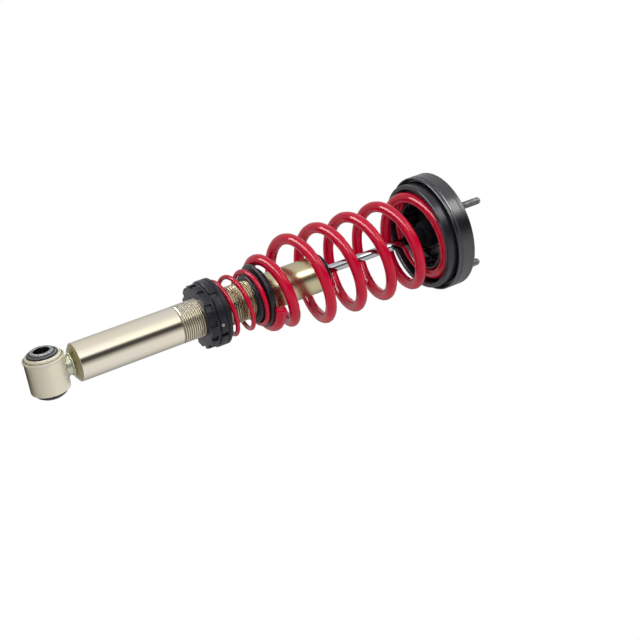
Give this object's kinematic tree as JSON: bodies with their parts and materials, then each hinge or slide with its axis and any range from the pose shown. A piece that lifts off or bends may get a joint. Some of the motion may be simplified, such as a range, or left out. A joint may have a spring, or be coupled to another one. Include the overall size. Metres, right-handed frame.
{
  "type": "coilover",
  "caption": "Threaded-body coilover strut with an eye-mounted lower end, helper and main springs in series, and a studded top mount.",
  "frame": {"origin": "centre of the lower eye's bolt bore", "axes": "+Z from the lower eye along the damper to the top mount, +X along the bolt through the lower eye"},
  "size_m": [0.1648, 0.1648, 0.6691],
  "materials": {
    "zinc_gold": "yellow-passivated zinc plate",
    "bush_rubber": "satin black",
    "seat_rubber": "satin black",
    "foam": "matt microcellular foam",
    "zinc_steel": "clear zinc plate",
    "chromed_rod": "polished hard chrome",
    "spring_steel": "bright",
    "damper_alloy": "machined",
    "bearing_plastic": "bronze-filled bearing strip",
    "black_alloy": "black anodised",
    "black_steel": "black oxide",
    "red_powder_coat": "gloss powder coat",
    "black_paint": "gloss e-coat"
  },
  "bodies": {
    "top_mount": {"main_spring": "red_powder_coat", "spring_isolator": "seat_rubber", "mount_shell": "black_paint", "top_plate": "black_paint", "mount_studs": "zinc_steel", "mount_bushing": "bush_rubber"},
    "rod": {"damper_rod": "chromed_rod", "piston": "damper_alloy", "piston_band": "bearing_plastic", "compression_shims": "spring_steel", "rebound_shims": "spring_steel", "piston_nut": "zinc_steel", "rebound_bumper": "foam", "lower_washer": "zinc_steel", "mount_spacer": "zinc_steel", "upper_washer": "zinc_steel", "rod_nut": "zinc_steel", "bump_stop": "foam"},
    "coupler": {"spring_coupler": "black_alloy", "helper_spring": "red_powder_coat"},
    "perch": {"thrust_washer": "black_steel"},
    "collar": {"adjusting_collar": "black_alloy", "lock_ring": "black_alloy", "collar_screw": "zinc_steel"},
    "damper_body": {"eye_ring": "zinc_gold", "eye_bushing": "bush_rubber", "base_cap": "zinc_gold", "damper_tube": "zinc_gold", "rod_guide": "damper_alloy", "rod_seal": "bush_rubber", "retaining_ring": "zinc_steel", "seal_cap": "black_alloy"},
    "floating_piston": {"floating_piston": "damper_alloy", "floating_piston_ring": "bush_rubber"},
    "eye_sleeve": {"bushing_sleeve": "zinc_steel"}
  },
  "joints": [
    {"name": "main_travel", "type": "slide", "parent": "top_mount", "child": "coupler", "axis": [0, 0, 1], "range_m": [0, 0.116], "stiffness_N_per_m": 60000, "deforming": ["main_spring"]},
    {"name": "helper_travel", "type": "slide", "parent": "coupler", "child": "perch", "axis": [0, 0, 1], "range_m": [0, 0.024], "stiffness_N_per_m": 18000, "deforming": ["helper_spring"]},
    {"name": "collar_turn", "type": "hinge", "parent": "perch", "child": "collar", "pos_m": [0, 0, 0.225], "axis": [0, 0, 1], "range_deg": [-1441, 0]},
    {"name": "height_adjust", "type": "slide", "parent": "perch", "child": "damper_body", "axis": [0, 0, 1], "range_m": [0, 0.012]},
    {"name": "rod_turn", "type": "hinge", "parent": "top_mount", "child": "rod", "pos_m": [0, 0, 0.605], "axis": [0, 0, 1], "continuous": true},
    {"name": "gas_piston_travel", "type": "slide", "parent": "damper_body", "child": "floating_piston", "axis": [0, 0, -1], "range_m": [0, 0.0095]},
    {"name": "bushing_twist", "type": "hinge", "parent": "damper_body", "child": "eye_sleeve", "pos_m": [0, 0, 0], "axis": [1, 0, 0], "range_deg": [-12, 12], "stiffness_Nm_per_rad": 20}
  ],
  "couplings": [
    {"joint": "collar_turn", "follows": "height_adjust", "rad_per_m": -2094.4},
    {"joint": "gas_piston_travel", "follows": "main_travel", "ratio": 0.0772}
  ]
}
